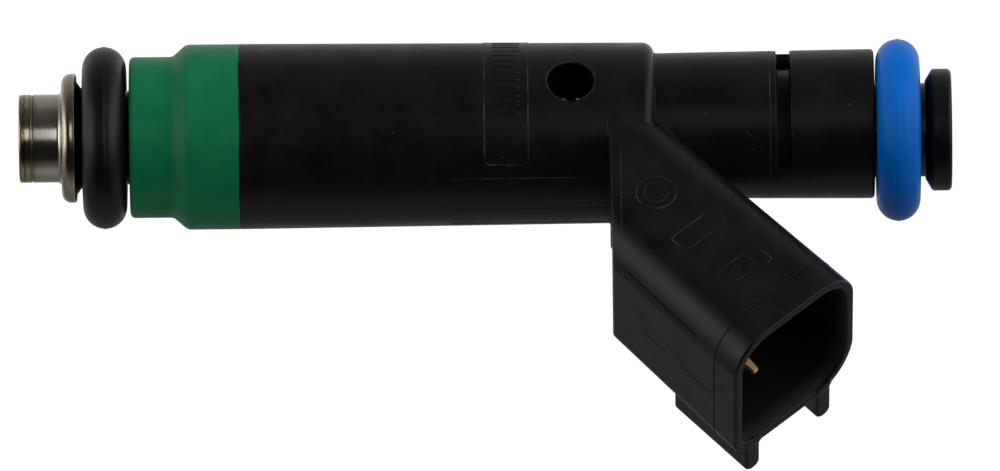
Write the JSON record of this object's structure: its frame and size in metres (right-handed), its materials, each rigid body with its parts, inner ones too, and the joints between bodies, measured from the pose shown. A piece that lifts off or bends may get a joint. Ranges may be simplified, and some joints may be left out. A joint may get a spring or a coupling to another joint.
{
  "type": "fuel injector",
  "caption": "Long-body port fuel injector with a side connector, two O-ring seals and a spring-closed solenoid needle valve.",
  "frame": {"origin": "centre of the discharge face, on the injector axis", "axes": "+Z along the injector axis from the discharge face to the fuel inlet, +X towards the connector side of the symmetry plane, -Y towards the side with the round moulding hole"},
  "size_m": [0.0346, 0.0177, 0.0749],
  "materials": {
    "stainless_steel": "turned, satin",
    "magnetic_steel": "machined",
    "spring_steel": "drawn wire",
    "brass": "satin",
    "filter_plastic": "moulded",
    "filter_mesh": "woven",
    "bobbin_plastic": "moulded",
    "copper_wire": "enamelled",
    "terminal_tin": "plated, bright",
    "green_plastic": "satin moulded",
    "black_plastic": "satin moulded",
    "black_rubber": "matte",
    "blue_rubber": "satin"
  },
  "bodies": {
    "injector": {"valve_body": "stainless_steel", "backup_retainer": "stainless_steel", "orifice_disk": "stainless_steel", "valve_seat": "stainless_steel", "seat_o_ring": "black_rubber", "needle_guide": "stainless_steel", "return_spring": "spring_steel", "adjusting_tube": "brass", "valve_body_shell": "stainless_steel", "non_magnetic_shell": "stainless_steel", "inlet_tube": "stainless_steel", "filter_body": "filter_plastic", "filter_screen": "filter_mesh", "coil_bobbin": "bobbin_plastic", "coil_winding": "copper_wire", "coil_housing": "magnetic_steel", "flux_washer": "magnetic_steel", "terminal_pin_a": "terminal_tin", "terminal_pin_b": "terminal_tin", "lower_shell": "green_plastic", "overmould_body": "black_plastic", "lower_o_ring_retainer": "stainless_steel", "lower_o_ring": "black_rubber", "upper_o_ring": "blue_rubber", "upper_o_ring_retainer": "black_plastic"},
    "needle_group": {"needle": "stainless_steel", "armature": "magnetic_steel"}
  },
  "joints": [
    {"name": "needle_lift", "type": "slide", "parent": "injector", "child": "needle_group", "axis": [0, 0, 1], "range_m": [0, 0.00025], "stiffness_N_per_m": 2500, "springref_m": -0.0001, "deforming": ["return_spring"]}
  ]
}
